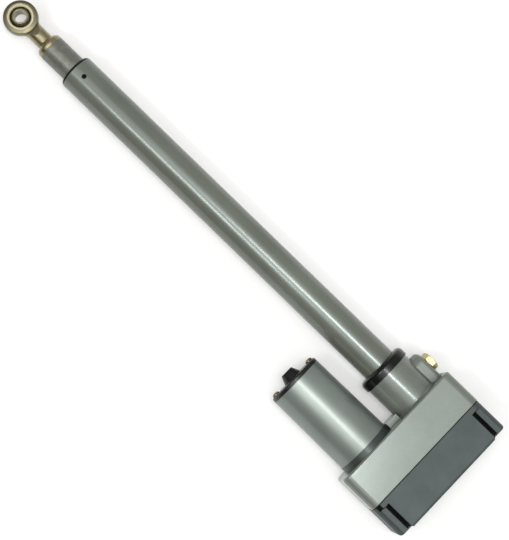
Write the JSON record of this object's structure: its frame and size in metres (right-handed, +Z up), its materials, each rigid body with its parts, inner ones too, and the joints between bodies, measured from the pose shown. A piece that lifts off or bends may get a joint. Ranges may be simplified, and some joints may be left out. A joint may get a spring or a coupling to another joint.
{
  "type": "satellite dish actuator",
  "caption": "Electric linear actuator that swings a satellite dish: a motor beside a telescopic tube turns a lead screw through gears and pushes out a rod with a swivel eye.",
  "frame": {"origin": "on the tube's axis, at the shoulder where the bare tube starts, beside the black collar", "axes": "+X along the tube, the way the rod comes out; +Y towards the motor; +Z up as it lies on a bench"},
  "size_m": [0.6585, 0.1522, 0.066],
  "materials": {
    "grey_paint": "satin grey-green coat",
    "rod_steel": "ground and plated",
    "cast_alloy": "die-cast, fine grain",
    "cover_plastic": "moulded, fine grain",
    "black_rubber": "matt",
    "black_plastic": "moulded",
    "black_paint": "satin black",
    "yellow_zinc": "yellow zinc plating",
    "bright_steel": "ground",
    "plate_steel": "zinc plated sheet",
    "gear_steel": "cut and oiled",
    "bronze": "sintered bronze",
    "white_plastic": "acetal",
    "ferrite": "sintered ferrite",
    "copper": "copper",
    "carbon": "pressed carbon",
    "green_board": "lacquered board"
  },
  "bodies": {
    "case": {"gear_housing": "cast_alloy", "bearing_plate": "plate_steel", "plate_screws": "bright_steel", "cover_gasket": "black_rubber", "end_cover": "cover_plastic", "cover_screws": "yellow_zinc", "cable_grommet": "black_rubber", "outer_tube": "grey_paint", "tube_collar": "black_rubber", "tube_lock_bolt": "yellow_zinc", "guide_bush": "white_plastic", "wiper_seal": "black_rubber", "bush_grub_screw": "black_paint", "screw_front_bush": "bronze", "screw_thrust_washer": "gear_steel", "screw_rear_bush": "bronze", "idler_axle": "bright_steel", "idler_washers": "bright_steel", "motor_front_bell": "black_paint", "motor_can": "grey_paint", "motor_magnets": "ferrite", "motor_end_cap": "black_plastic", "motor_bushes": "bronze", "motor_through_bolts": "yellow_zinc", "brush_plate": "black_plastic", "carbon_brushes": "carbon", "limit_bracket": "plate_steel", "limit_cam_axle": "bright_steel", "limit_switches": "black_plastic", "terminal_block": "white_plastic", "sensor_board": "green_board"},
    "armature": {"motor_shaft": "bright_steel", "motor_pinion": "gear_steel", "armature_core": "plate_steel", "armature_windings": "copper", "commutator": "copper"},
    "idler": {"idler_gear": "gear_steel"},
    "screw": {"lead_screw": "bright_steel", "drive_gear": "gear_steel", "gear_spacer": "bright_steel", "screw_stop_disc": "bright_steel", "limit_worm": "bright_steel", "magnet_wheel": "ferrite"},
    "rod": {"inner_tube": "rod_steel", "lead_nut": "bronze", "rod_end": "yellow_zinc", "rod_end_race": "bright_steel"},
    "ball": {"rod_end_ball": "bright_steel"},
    "cam": {"limit_cam": "black_plastic"}
  },
  "joints": [
    {"name": "rod_slide", "type": "slide", "parent": "case", "child": "rod", "axis": [1, 0, 0], "range_m": [0, 0.3048]},
    {"name": "motor_spin", "type": "hinge", "parent": "case", "child": "armature", "pos_m": [0, 0.07, 0], "axis": [-1, 0, 0], "range_deg": [0, 392502.87]},
    {"name": "idler_spin", "type": "hinge", "parent": "case", "child": "idler", "pos_m": [0, 0.0375, 0], "axis": [-1, 0, 0], "range_deg": [-88868.58, 0]},
    {"name": "screw_spin", "type": "hinge", "parent": "case", "child": "screw", "pos_m": [0, 0, 0], "axis": [-1, 0, 0], "range_deg": [0, 34560.01]},
    {"name": "cam_spin", "type": "hinge", "parent": "case", "child": "cam", "pos_m": [-0.1031, 0.0224, 0], "axis": [0, 0, 1], "range_deg": [-290.43, 0]},
    {"name": "ball_spin", "type": "hinge", "parent": "rod", "child": "ball", "pos_m": [0.5066, 0, 0], "axis": [0, 0, 1], "continuous": true}
  ],
  "couplings": [
    {"joint": "screw_spin", "follows": "rod_slide", "rad_per_m": 1979},
    {"joint": "idler_spin", "follows": "rod_slide", "rad_per_m": -5088.7},
    {"joint": "motor_spin", "follows": "rod_slide", "rad_per_m": 22475},
    {"joint": "cam_spin", "follows": "rod_slide", "rad_per_m": -16.63}
  ]
}
